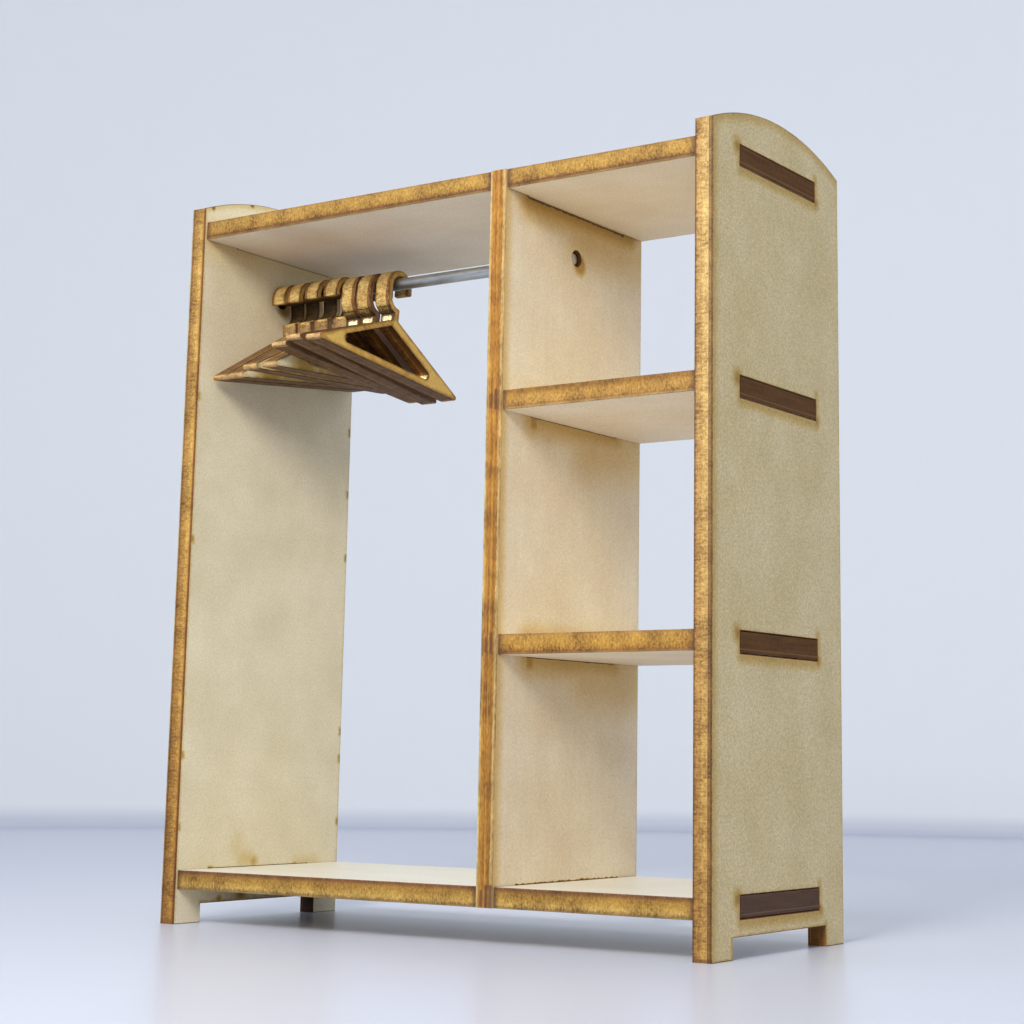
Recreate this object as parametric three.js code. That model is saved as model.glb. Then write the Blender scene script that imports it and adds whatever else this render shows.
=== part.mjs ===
// Dollhouse wardrobe at one-twelfth scale: laser-cut plywood panels slotted into one another,
// a round metal rail and seven plywood clothes hangers that hang on it.
// Millimetres, +Z up, front towards -Y, origin on the floor under the middle of the carcass.

import * as THREE from "three";

// Sheet and rod that the pieces are cut from, and the play left round a joint
const plywood = 3;
const railDiameter = 2;
const slotClearance = 0.15;

// Carcass
const sideDepth = 40;
const cornerRise = 2.4;
const archRise = 4;
const hangingBayWidth = 60;
const shelfBayWidth = 33.8;
const bottomPanelLift = 5.5;
const lowerCompartmentHeight = 33.6;
const middleCompartmentHeight = 33.8;
const upperCompartmentHeight = 31.7;
const dividerInset = 0.25;
const shelfInset = 0.5;
const footLength = 6;
const footNotchHeight = 3;
const tenonMargin = 8;
const hornLength = 6;

// Rail, hung between the left side panel and the divider
const railDrop = 7.1;
const railHoleClearance = 0.3;
const railEndInset = 0.5;
const railChamfer = 0.2;

// Hanger, measured in its own plane from the centre of the hook's upper bend
const hookInnerRadius = 2;
const hookBand = 1.05;
const hookStem = 1.8;
const hookTipDrop = 0.55;
const hookTipRounding = 0.2;
const neckWidth = 1.25;
const neckOffset = 0.2;
const shoulderDrop = 5.95;
const hangerDrop = 14.8;
const hangerSpan = 37.2;
const hangerTipRadius = 0.45;
const armWidth = 1.4;
const barWidth = 1.3;
const windowCornerRadius = 0.75;
const windowApexRadius = 0.3;
const windowOffset = 1;

// How the hangers hang: first the four whose hooks open to the front, then the three that open to
// the rear. The rail bears on the hook a little way round from its top, with hangingGap between them.
const hangingGap = 0.3;
const bearingAngle = THREE.MathUtils.degToRad(43);
const frontOpeningCount = 4;
// tilt of each hanger about the rail, in degrees, with its front end down when above zero
const hangerTilts = [5.8, 5.8, 2.4, 2.4, -6.2, -8.5, -7.7];
// space before each hanger, from the left side panel on, as a share of the plywood's thickness
const hangerGapShares = [0.23, 0.17, 0.37, 0.43, 0.13, 0.17, 0.37];

// Facets
const archFacets = 16;
const roundFacets = 12;
const bendFacets = 8;

// Levels, from the floor up
const bottomPanelTop = bottomPanelLift + plywood;
const lowerShelfUnderside = bottomPanelTop + lowerCompartmentHeight;
const upperShelfUnderside = lowerShelfUnderside + plywood + middleCompartmentHeight;
const topPanelUnderside = upperShelfUnderside + plywood + upperCompartmentHeight;
const topPanelTop = topPanelUnderside + plywood;
const cornerHeight = topPanelTop + cornerRise;
const railHeight = topPanelUnderside - railDrop;

// Faces of the uprights, from left to right
const leftOuterFace = -(plywood + hangingBayWidth + plywood + shelfBayWidth + plywood) / 2;
const leftInnerFace = leftOuterFace + plywood;
const dividerLeftFace = leftInnerFace + hangingBayWidth;
const dividerRightFace = dividerLeftFace + plywood;
const rightInnerFace = dividerRightFace + shelfBayWidth;
const rightOuterFace = rightInnerFace + plywood;

// Distances from the middle plane, alike to the front and to the rear
const sideEdge = sideDepth / 2;
const dividerEdge = sideEdge - dividerInset;
const shelfEdge = sideEdge - shelfInset;
const mortiseEnd = sideEdge - tenonMargin;
const tenonEnd = mortiseEnd - slotClearance;
const hornEnd = sideEdge - hornLength;
const panelNotchEnd = hornEnd - slotClearance;

const railRadius = railDiameter / 2;
const railHoleRadius = railRadius + railHoleClearance;

const xAxis = new THREE.Vector3(1, 0, 0);
const yAxis = new THREE.Vector3(0, 1, 0);
const zAxis = new THREE.Vector3(0, 0, 1);

// Puts an outline drawn in (y, z) upright, with its thickness along +X.
const standUpright = new THREE.Matrix4().makeBasis(yAxis, zAxis, xAxis);

function outlineOf(...corners) {
  const outline = new THREE.Shape();
  outline.moveTo(...corners[0]);
  for (const corner of corners.slice(1)) outline.lineTo(...corner);
  return outline;
}

// The mortise that takes a tenon lying on the level called underside.
function mortise(underside) {
  const low = underside - slotClearance;
  const high = underside + plywood + slotClearance;
  return outlineOf([-mortiseEnd, low], [mortiseEnd, low], [mortiseEnd, high], [-mortiseEnd, high]);
}

function railHole() {
  const hole = new THREE.Path();
  hole.absarc(0, railHeight, railHoleRadius, 0, 2 * Math.PI, false);
  return hole;
}

function cutFromSheet(outline, facets) {
  return new THREE.ExtrudeGeometry(outline, { depth: plywood, bevelEnabled: false, curveSegments: facets });
}

// Both side panels share one outline: two feet with a low notch between them and an arched top.
function sidePanelGeometry(holes) {
  const archRadius = (sideEdge ** 2 + archRise ** 2) / (2 * archRise);
  const archCentreHeight = cornerHeight + archRise - archRadius;
  const archHalfAngle = Math.asin(sideEdge / archRadius);
  const footEnd = sideEdge - footLength;
  const outline = outlineOf(
    [-sideEdge, 0],
    [-footEnd, 0],
    [-footEnd, footNotchHeight],
    [footEnd, footNotchHeight],
    [footEnd, 0],
    [sideEdge, 0],
  );
  outline.absarc(0, archCentreHeight, archRadius, Math.PI / 2 - archHalfAngle, Math.PI / 2 + archHalfAngle, false);
  outline.holes.push(...holes);
  return cutFromSheet(outline, archFacets).applyMatrix4(standUpright);
}

// The divider's four horns pass through the notches of the top and bottom panels. Between the horns
// its edges bear on those panels, and two mortises take the shelves.
function dividerGeometry() {
  const outline = outlineOf(
    [-dividerEdge, bottomPanelLift],
    [-hornEnd, bottomPanelLift],
    [-hornEnd, bottomPanelTop],
    [hornEnd, bottomPanelTop],
    [hornEnd, bottomPanelLift],
    [dividerEdge, bottomPanelLift],
    [dividerEdge, topPanelTop],
    [hornEnd, topPanelTop],
    [hornEnd, topPanelUnderside],
    [-hornEnd, topPanelUnderside],
    [-hornEnd, topPanelTop],
    [-dividerEdge, topPanelTop],
  );
  outline.holes.push(mortise(lowerShelfUnderside), mortise(upperShelfUnderside), railHole());
  return cutFromSheet(outline, roundFacets).applyMatrix4(standUpright);
}

// The top and bottom panels run through both bays, with a tenon at each end and a notch at the front
// and at the rear for the divider's horns.
function throughPanelGeometry() {
  const notchLeft = dividerLeftFace - slotClearance;
  const notchRight = dividerRightFace + slotClearance;
  const outline = outlineOf(
    [leftInnerFace, -shelfEdge],
    [notchLeft, -shelfEdge],
    [notchLeft, -panelNotchEnd],
    [notchRight, -panelNotchEnd],
    [notchRight, -shelfEdge],
    [rightInnerFace, -shelfEdge],
    [rightInnerFace, -tenonEnd],
    [rightOuterFace, -tenonEnd],
    [rightOuterFace, tenonEnd],
    [rightInnerFace, tenonEnd],
    [rightInnerFace, shelfEdge],
    [notchRight, shelfEdge],
    [notchRight, panelNotchEnd],
    [notchLeft, panelNotchEnd],
    [notchLeft, shelfEdge],
    [leftInnerFace, shelfEdge],
    [leftInnerFace, tenonEnd],
    [leftOuterFace, tenonEnd],
    [leftOuterFace, -tenonEnd],
    [leftInnerFace, -tenonEnd],
  );
  return cutFromSheet(outline, roundFacets);
}

// A shelf spans the narrow bay, with one tenon through the divider and one through the right side.
function shelfGeometry() {
  const outline = outlineOf(
    [dividerRightFace, -shelfEdge],
    [rightInnerFace, -shelfEdge],
    [rightInnerFace, -tenonEnd],
    [rightOuterFace, -tenonEnd],
    [rightOuterFace, tenonEnd],
    [rightInnerFace, tenonEnd],
    [rightInnerFace, shelfEdge],
    [dividerRightFace, shelfEdge],
    [dividerRightFace, tenonEnd],
    [dividerLeftFace, tenonEnd],
    [dividerLeftFace, -tenonEnd],
    [dividerRightFace, -tenonEnd],
  );
  return cutFromSheet(outline, roundFacets);
}

// A cut length of rod with a small chamfer at each end, lying along X.
function railGeometry() {
  const start = leftOuterFace + railEndInset;
  const end = dividerRightFace - railEndInset;
  const profile = [
    new THREE.Vector2(0, start),
    new THREE.Vector2(railRadius - railChamfer, start),
    new THREE.Vector2(railRadius, start + railChamfer),
    new THREE.Vector2(railRadius, end - railChamfer),
    new THREE.Vector2(railRadius - railChamfer, end),
    new THREE.Vector2(0, end),
  ];
  return new THREE.LatheGeometry(profile, 2 * roundFacets).rotateZ(-Math.PI / 2);
}

// Slope of an arm's upper edge, from the foot of the neck to where it meets the rounded tip.
function shoulderAngle() {
  const run = hangerSpan / 2 - hangerTipRadius - neckWidth / 2;
  const fall = hangerDrop - hangerTipRadius - shoulderDrop;
  return Math.atan2(fall, run) - Math.asin(hangerTipRadius / Math.hypot(run, fall));
}

// The triangular window, with its sides parallel to the shoulders and the bar. It lies towards the
// hook's stem, so the arm below the hook's mouth is the broader one.
function hangerWindow(slope) {
  const centre = -neckOffset - windowOffset;
  const sill = barWidth - hangerDrop;
  const apex = -shoulderDrop + (neckWidth / 2) * Math.tan(slope) - armWidth / Math.cos(slope);
  const halfSill = (apex - sill) / Math.tan(slope);
  const cornerInset = windowCornerRadius / Math.tan(slope / 2);
  const cornerCentre = halfSill - cornerInset;
  const apexCentre = apex - windowApexRadius / Math.cos(slope);
  const shape = new THREE.Path();
  shape.absarc(centre + cornerCentre, sill + windowCornerRadius, windowCornerRadius,
    -Math.PI / 2, Math.PI / 2 - slope, false);
  shape.absarc(centre, apexCentre, windowApexRadius, Math.PI / 2 - slope, Math.PI / 2 + slope, false);
  shape.absarc(centre - cornerCentre, sill + windowCornerRadius, windowCornerRadius,
    Math.PI / 2 + slope, 3 * Math.PI / 2, false);
  return shape;
}

// Hook, neck, shoulders, tips and bar as one outline. Its x runs towards the mouth of the hook.
function hangerOutline() {
  const outer = hookInnerRadius + hookBand;
  const neckMouthSide = neckWidth / 2 - neckOffset;
  const neckStemSide = neckMouthSide - neckWidth;
  const throat = -hookStem - hookInnerRadius;
  const slope = shoulderAngle();
  const tipRun = hangerSpan / 2 - hangerTipRadius;
  const tipHeight = hangerTipRadius - hangerDrop;
  const outline = new THREE.Shape();
  outline.moveTo(neckMouthSide, -shoulderDrop);
  outline.lineTo(neckMouthSide, throat - neckMouthSide);
  outline.absarc(0, throat - neckMouthSide, neckMouthSide, 0, Math.PI / 2, false);
  outline.absarc(0, -hookStem, hookInnerRadius, -Math.PI / 2, -Math.PI, true);
  outline.absarc(0, 0, hookInnerRadius, Math.PI, 0, true);
  outline.absarc(hookInnerRadius + hookTipRounding, hookTipRounding - hookTipDrop, hookTipRounding,
    Math.PI, 3 * Math.PI / 2, false);
  outline.absarc(outer - hookTipRounding, hookTipRounding - hookTipDrop, hookTipRounding,
    -Math.PI / 2, 0, false);
  outline.absarc(0, 0, outer, 0, Math.PI, false);
  outline.absarc(0, -hookStem, outer, Math.PI, Math.PI + Math.acos(-neckStemSide / outer), false);
  outline.lineTo(neckStemSide, -shoulderDrop);
  outline.absarc(-neckOffset - tipRun, tipHeight, hangerTipRadius, Math.PI / 2 + slope, 3 * Math.PI / 2, false);
  outline.absarc(-neckOffset + tipRun, tipHeight, hangerTipRadius, -Math.PI / 2, Math.PI / 2 - slope, false);
  outline.holes.push(hangerWindow(slope));
  return outline;
}

// The hanger's origin is the rail's axis, which it swings about, in the middle of its thickness.
function hangerGeometry() {
  const bearingReach = hookInnerRadius - railRadius - hangingGap;
  const geometry = cutFromSheet(hangerOutline(), bendFacets).applyMatrix4(standUpright);
  return geometry.translate(
    -plywood / 2,
    bearingReach * Math.sin(bearingAngle),
    -bearingReach * Math.cos(bearingAngle),
  );
}

// Finishes: pale cut panels, hangers browned by the laser, and bright drawn wire.
const panelFinish = { color: 0xdccba6, roughness: 0.75, metalness: 0 };
const hangerFinish = { color: 0xb08a4c, roughness: 0.7, metalness: 0 };
const railFinish = { color: 0xc3c6c9, roughness: 0.3, metalness: 1 };

function piece(name, geometry, finish) {
  const mesh = new THREE.Mesh(geometry, new THREE.MeshStandardMaterial(finish));
  mesh.name = name;
  return mesh;
}

function placed(mesh, x, z) {
  mesh.position.set(x, 0, z);
  return mesh;
}

const leftMortises = [mortise(bottomPanelLift), mortise(topPanelUnderside)];
const rightMortises = [...leftMortises, mortise(lowerShelfUnderside), mortise(upperShelfUnderside)];

const carcass = new THREE.Group();
carcass.add(
  placed(piece("left_side_panel", sidePanelGeometry([...leftMortises, railHole()]), panelFinish), leftOuterFace, 0),
  placed(piece("right_side_panel", sidePanelGeometry(rightMortises), panelFinish), rightInnerFace, 0),
  placed(piece("divider", dividerGeometry(), panelFinish), dividerLeftFace, 0),
  placed(piece("top_panel", throughPanelGeometry(), panelFinish), 0, topPanelUnderside),
  placed(piece("bottom_panel", throughPanelGeometry(), panelFinish), 0, bottomPanelLift),
  placed(piece("upper_shelf", shelfGeometry(), panelFinish), 0, upperShelfUnderside),
  placed(piece("lower_shelf", shelfGeometry(), panelFinish), 0, lowerShelfUnderside),
  placed(piece("hanging_rail", railGeometry(), railFinish), 0, railHeight),
);

const hangers = new THREE.Group();
hangers.position.set(leftInnerFace, 0, railHeight);
let hangerStart = 0;
hangerGapShares.forEach((share, index) => {
  const opensToFront = index < frontOpeningCount;
  const hanger = piece(`hanger_${index + 1}`, hangerGeometry(), hangerFinish);
  hangerStart += share * plywood;
  hanger.position.x = hangerStart + plywood / 2;
  hanger.rotation.set(THREE.MathUtils.degToRad(hangerTilts[index]), 0, opensToFront ? Math.PI : 0);
  hangers.add(hanger);
  hangerStart += plywood;
});

const wardrobe = new THREE.Group();
wardrobe.name = "wardrobe";
wardrobe.add(carcass, hangers);

export default wardrobe;
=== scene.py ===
from math import cos, pi, radians, sin

import bmesh
import bpy
from mathutils import Matrix, Vector
from mathutils.kdtree import KDTree


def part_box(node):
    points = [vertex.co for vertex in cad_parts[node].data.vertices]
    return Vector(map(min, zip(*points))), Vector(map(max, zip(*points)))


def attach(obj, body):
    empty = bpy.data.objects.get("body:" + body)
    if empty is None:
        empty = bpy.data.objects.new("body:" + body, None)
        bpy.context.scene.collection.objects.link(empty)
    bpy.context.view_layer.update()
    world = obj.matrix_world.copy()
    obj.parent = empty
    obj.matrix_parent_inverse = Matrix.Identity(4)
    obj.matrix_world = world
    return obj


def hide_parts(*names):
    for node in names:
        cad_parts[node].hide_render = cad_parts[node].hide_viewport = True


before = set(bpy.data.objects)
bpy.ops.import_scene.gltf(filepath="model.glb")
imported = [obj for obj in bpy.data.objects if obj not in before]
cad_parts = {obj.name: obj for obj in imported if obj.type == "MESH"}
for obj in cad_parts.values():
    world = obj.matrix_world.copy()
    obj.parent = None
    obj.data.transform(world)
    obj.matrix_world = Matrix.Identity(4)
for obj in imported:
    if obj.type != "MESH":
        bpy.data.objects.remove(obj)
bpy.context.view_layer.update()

# The view
# A long lens on a low stand, near the front right corner, looks a little up at the wardrobe. The
# photograph was cropped, so the lens is shifted a little off its middle.
mm = 0.001
frame_pixels = 1024
focal_pixels = 2049.7
lens_middle = (598.4, 400.0)
camera_place = Vector((193.94, -267.39, 27.15)) * mm
camera_heading = radians(33.18)
camera_pitch = radians(9.91)
camera_roll = radians(0.675)

bpy.ops.object.select_all(action="DESELECT")
bpy.ops.object.camera_add(location=camera_place)
camera = bpy.context.object
camera.name = "photo_view"
camera.rotation_euler = (
    Matrix.Rotation(camera_heading, 3, "Z")
    @ Matrix.Rotation(radians(90) + camera_pitch, 3, "X")
    @ Matrix.Rotation(camera_roll, 3, "Z")
).to_euler()
camera.data.sensor_width = 36
camera.data.lens = focal_pixels * camera.data.sensor_width / frame_pixels
camera.data.shift_x = (frame_pixels / 2 - lens_middle[0]) / frame_pixels
camera.data.shift_y = (lens_middle[1] - frame_pixels / 2) / frame_pixels
camera.data.clip_start = 10 * mm
camera.data.clip_end = 5
bpy.context.scene.camera = camera
bpy.context.scene.view_settings.view_transform = "Standard"

# The table and the wall
# A white laminate table top that turns up into a pale wall all round, so each view has the same
# ground. The laminate is smooth enough to give back a faint, blurred picture of what stands on it.
table_radius = 463 * mm
cove_radius = 4 * mm
blend_height = 9 * mm
wall_height = 420 * mm
cove_steps = 6
round_steps = 96


def linear(sheet_colour):
    """Turns an sRGB hex colour into the linear values that the shaders take."""
    channels = [int(sheet_colour[i:i + 2], 16) / 255 for i in (1, 3, 5)]
    return [*(c / 12.92 if c <= 0.04045 else ((c + 0.055) / 1.055) ** 2.4 for c in channels), 1]


def add_node(tree, kind, inputs=(), **settings):
    """Adds a shader node. An input is a value, or the socket of another node that feeds it."""
    made = tree.nodes.new(kind)
    for setting, value in settings.items():
        setattr(made, setting, value)
    for socket, value in dict(inputs).items():
        if isinstance(value, bpy.types.NodeSocket):
            tree.links.new(value, made.inputs[socket])
        else:
            made.inputs[socket].default_value = value
    return made


def new_material(name):
    """An empty material, its node tree and the output node that its shader goes into."""
    material = bpy.data.materials.new(name)
    material.use_nodes = True
    material.node_tree.nodes.clear()
    return material, material.node_tree, add_node(material.node_tree, "ShaderNodeOutputMaterial")


# White melamine laminate that passes into matt wall paint a few millimetres up: one has a soft shine.
ground, tree, output = new_material("white_laminate_and_wall_paint")
level = add_node(tree, "ShaderNodeTexCoord").outputs["Object"]
level = add_node(tree, "ShaderNodeSeparateXYZ", {0: level}).outputs["Z"]
painted = add_node(tree, "ShaderNodeMapRange", {
    "Value": level, "From Max": blend_height, "To Max": 1.0,
}, interpolation_type="SMOOTHSTEP").outputs[0]
tone = add_node(tree, "ShaderNodeMix", {
    0: painted, 6: linear("#c3c8d7"), 7: linear("#f1f4f7"),
}, data_type="RGBA").outputs[2]
gloss = add_node(tree, "ShaderNodeMapRange", {"Value": painted, "To Min": 0.3, "To Max": 0.9}).outputs[0]
shader = add_node(tree, "ShaderNodeBsdfPrincipled", {"Base Color": tone, "Roughness": gloss, "IOR": 1.45})
tree.links.new(shader.outputs[0], output.inputs[0])

bpy.ops.object.select_all(action="DESELECT")
bpy.ops.mesh.primitive_circle_add(
    vertices=round_steps, radius=table_radius - cove_radius, fill_type="NGON")
table = bpy.context.object
table.name = "table_and_wall"
table.data.materials.append(ground)
bpy.ops.object.mode_set(mode="EDIT")
bpy.ops.mesh.select_mode(type="EDGE")
bpy.ops.mesh.select_all(action="SELECT")
for step in range(cove_steps):
    angle, next_angle = radians(90) * step / cove_steps, radians(90) * (step + 1) / cove_steps
    reach = table_radius - cove_radius + cove_radius * sin(angle)
    next_reach = table_radius - cove_radius + cove_radius * sin(next_angle)
    bpy.ops.mesh.extrude_edges_move(TRANSFORM_OT_translate={
        "value": (0, 0, cove_radius * (cos(angle) - cos(next_angle))),
    })
    bpy.ops.transform.resize(value=(next_reach / reach, next_reach / reach, 1), center_override=(0, 0, 0))
bpy.ops.mesh.extrude_edges_move(TRANSFORM_OT_translate={"value": (0, 0, wall_height)})
bpy.ops.object.mode_set(mode="OBJECT")
bpy.ops.object.shade_smooth_by_angle(angle=radians(40))

# The light
# One soft window light from the front right and above, a larger and weaker one from the left, and the
# pale room's own light. The window sheds less light aside, so the table below it doesn't glare.
lit_point = Vector((0, 0, 60)) * mm
room_colour, room_strength = "#e4e8ee", 0.97
for name, place, size, power, spread, colour in (
    ("window", (75, -330, 250), 130, 0.63, 110, "#fffaf2"),
    ("room_left", (-330, -260, 260), 300, 0.3, 180, "#e6eeff"),
):
    bpy.ops.object.select_all(action="DESELECT")
    bpy.ops.object.light_add(type="AREA", location=Vector(place) * mm)
    light = bpy.context.object
    light.name = name
    light.data.size = size * mm
    light.data.energy = power
    light.data.spread = radians(spread)
    light.data.color = linear(colour)[:3]
    light.rotation_euler = (lit_point - light.location).to_track_quat("-Z", "Y").to_euler()
    light.visible_camera = False
room = bpy.data.worlds.new("room")
room.use_nodes = True
room.node_tree.nodes["Background"].inputs["Color"].default_value = linear(room_colour)
room.node_tree.nodes["Background"].inputs["Strength"].default_value = room_strength
bpy.context.scene.world = room

# Left side panel
# Three millimetre birch plywood, cut by a laser that browned its edges. It stands on two feet, and its
# mortises hold the tenons of the top and bottom panels. One end of the rail sits in its round hole.

# Sizes and places are in millimetres, and a level is a height above the table. The solids leave some
# room in a mortise, and closed_room is what is left of it where a joint looks closed.
ply = 3
left_outer, left_inner = -51.4, -48.4
front, rear, corner_level = -20, 20, 119
mortise_span, mortise_room, closed_room = (-12, 12), 0.15, 0.02
bottom_level, top_level = 5.5, 113.6
rail_level, rail_hole = 106.5, 1.3
foot_inner_end, notch_top = 14, 3
arch_middle, arch_radius = (0, 71), 52
arris = 0.1
beyond, under_all, over_all = 60, -1, 130


def plan_place(tree):
    """Where a point of the piece lies, in millimetres."""
    place = add_node(tree, "ShaderNodeTexCoord").outputs["Object"]
    place = add_node(tree, "ShaderNodeVectorMath", {0: place, "Scale": 1 / mm}, operation="SCALE")
    return place.outputs[0]


def figure(tree, place, size, seed, detail=2.0):
    """The wood's figure: soft patches about as large as size, in mm along each axis."""
    spread = add_node(tree, "ShaderNodeVectorMath", {
        0: place, 1: [1 / length for length in size], 2: (seed, seed, seed),
    }, operation="MULTIPLY_ADD")
    return add_node(tree, "ShaderNodeTexNoise", {
        "Vector": spread.outputs[0], "Scale": 1.0, "Detail": detail,
    }).outputs["Fac"]


def fill_ramp(ramp, stops):
    """Gives a colour ramp its stops, each a position and a colour."""
    elements = ramp.color_ramp.elements
    elements.remove(elements[1])
    elements[0].position, elements[0].color = stops[0][0], linear(stops[0][1])
    for position, colour in stops[1:]:
        elements.new(position).color = linear(colour)
    return ramp.outputs["Color"]


def burn_and_shade_mask(tree, place, burn_and_shade_boxes, rounds=()):
    """How far the beam has browned a spot, from 0 to 1; some boxes give painted shade instead, with the
    same falloff. Each box is the lowest and the highest corner of what was cut or shaded, in mm, with the
    reach of its halo and its strength. Each round is the middle of a curved cut, its radius, 1 for the
    upper side of a disc or -1 for a hole, and the same two values."""
    glows = []
    for lowest, highest, reach, strength in burn_and_shade_boxes:
        middle = [(a + b) / 2 for a, b in zip(lowest, highest)]
        half = [(b - a) / 2 for a, b in zip(lowest, highest)]
        away = add_node(tree, "ShaderNodeVectorMath", {0: place, 1: middle}, operation="SUBTRACT")
        away = add_node(tree, "ShaderNodeVectorMath", {0: away.outputs[0]}, operation="ABSOLUTE")
        away = add_node(tree, "ShaderNodeVectorMath", {0: away.outputs[0], 1: half}, operation="SUBTRACT")
        away = add_node(tree, "ShaderNodeVectorMath", {
            0: away.outputs[0], 1: (0, 0, 0),
        }, operation="MAXIMUM")
        away = add_node(tree, "ShaderNodeVectorMath", {0: away.outputs[0]}, operation="LENGTH")
        glows.append((away.outputs["Value"], reach, strength))
    for (across, up), radius, side, reach, strength in rounds:
        away = add_node(tree, "ShaderNodeVectorMath", {
            0: place, 1: (0, 1, 1), 2: (0, -across, -up),
        }, operation="MULTIPLY_ADD")
        if side > 0:
            away = add_node(tree, "ShaderNodeVectorMath", {
                0: away.outputs[0], 1: (0, -beyond, 0),
            }, operation="MAXIMUM")
        away = add_node(tree, "ShaderNodeVectorMath", {0: away.outputs[0]}, operation="LENGTH")
        away = add_node(tree, "ShaderNodeMath", {
            0: away.outputs["Value"], 1: -side, 2: side * radius,
        }, operation="MULTIPLY_ADD")
        glows.append((away.outputs[0], reach, strength))
    burn_and_shade = None
    for away, reach, strength in glows:
        glow = add_node(tree, "ShaderNodeMapRange", {
            "Value": away, "From Max": reach, "To Min": strength, "To Max": 0.0,
        }, interpolation_type="SMOOTHSTEP").outputs[0]
        if burn_and_shade is not None:
            glow = add_node(tree, "ShaderNodeMath", {0: burn_and_shade, 1: glow}, operation="MAXIMUM").outputs[0]
        burn_and_shade = glow
    return burn_and_shade


def stained_and_shaded(tree, wood, burn_and_shade):
    """Wood browned by the beam, and in some places darkened by the same ramp as painted shade: caramel
    takes the blue out first, then the green, and char all of it.
    """
    stain_and_shade = fill_ramp(add_node(tree, "ShaderNodeValToRGB", {"Fac": burn_and_shade}), [
        (0.0, "#ffffff"), (0.3, "#f3e7c8"), (0.5, "#e8d4a6"), (0.65, "#dac081"),
        (0.78, "#c2a35c"), (0.9, "#896c45"), (1.0, "#523c2d"),
    ])
    return add_node(tree, "ShaderNodeVectorMath", {0: wood, 1: stain_and_shade}, operation="MULTIPLY").outputs[0]


def birch_veneer(name, tones, along, seed, burn_and_shade_boxes, rounds=(), grain_share=0.22, roughness=0.6,
                 speckle=0.1):
    """Bare birch veneer, sanded and unfinished, so matt and creamy: two tones that pass into each other
    in clouds and along the grain, a speckle of pores, and the beam's browning, with painted shade in
    some of its boxes. Along is the grain's axis."""
    material, tree, output = new_material(name)
    place = plan_place(tree)
    # Streaks are about a millimetre wide and 18 mm long, and clouds 9 mm across. Pores are a twentieth
    # of a millimetre wide, too fine to show, so their flecks are drawn at a third.
    grain = [1.1, 1.1, 1.1]
    grain[along] = 18
    streaks = figure(tree, place, grain, seed, 3.0)
    clouds = figure(tree, place, (9, 9, 9), seed + 3.7, 3.0)
    flecks = figure(tree, place, (0.32, 0.32, 0.32), seed + 8.1, 1.0)
    tone = add_node(tree, "ShaderNodeMath", {0: streaks, 1: grain_share}, operation="MULTIPLY").outputs[0]
    tone = add_node(tree, "ShaderNodeMath", {
        0: clouds, 1: 1 - grain_share, 2: tone,
    }, operation="MULTIPLY_ADD").outputs[0]
    tone = add_node(tree, "ShaderNodeMapRange", {
        "Value": tone, "From Min": 0.3, "From Max": 0.7,
    }).outputs[0]
    wood = add_node(tree, "ShaderNodeMix", {
        0: tone, 6: linear(tones[0]), 7: linear(tones[1]),
    }, data_type="RGBA").outputs[2]
    shade = add_node(tree, "ShaderNodeMapRange", {
        "Value": flecks, "From Min": 0.25, "From Max": 0.75,
        "To Min": 1 - speckle, "To Max": 1 + speckle,
    }).outputs[0]
    wood = add_node(tree, "ShaderNodeVectorMath", {0: wood, "Scale": shade}, operation="SCALE").outputs[0]

    ragged = add_node(tree, "ShaderNodeTexNoise", {"Vector": place, "Scale": 0.9, "Detail": 4.0})
    ragged = add_node(tree, "ShaderNodeVectorMath", {
        0: ragged.outputs["Color"], 1: (0.8, 0.8, 0.8), 2: (-0.4, -0.4, -0.4),
    }, operation="MULTIPLY_ADD")
    ragged = add_node(tree, "ShaderNodeVectorMath", {0: place, 1: ragged.outputs[0]}, operation="ADD")
    burn_and_shade = burn_and_shade_mask(tree, ragged.outputs[0], burn_and_shade_boxes, rounds)
    wood = stained_and_shaded(tree, wood, burn_and_shade)
    relief = add_node(tree, "ShaderNodeBump", {"Height": flecks, "Strength": 0.25, "Distance": 0.02 * mm})
    shader = add_node(tree, "ShaderNodeBsdfPrincipled", {
        "Base Color": wood, "Normal": relief.outputs[0], "Roughness": roughness, "IOR": 1.45,
    })
    tree.links.new(shader.outputs[0], output.inputs[0])
    return material


# What the beam left of the wood's colour, channel by channel: where it is brownest and where it is
# barest.
# Low down on an upright the edges are also darker, as painted shade.
browned_share, bared_share = (0.45, 0.34, 0.18, 1), (1.46, 1.44, 1.22, 1)
foot_shade_share = (0.8, 0.69, 0.49, 1)
foot_level, unshaded_level = 10, 95


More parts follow.
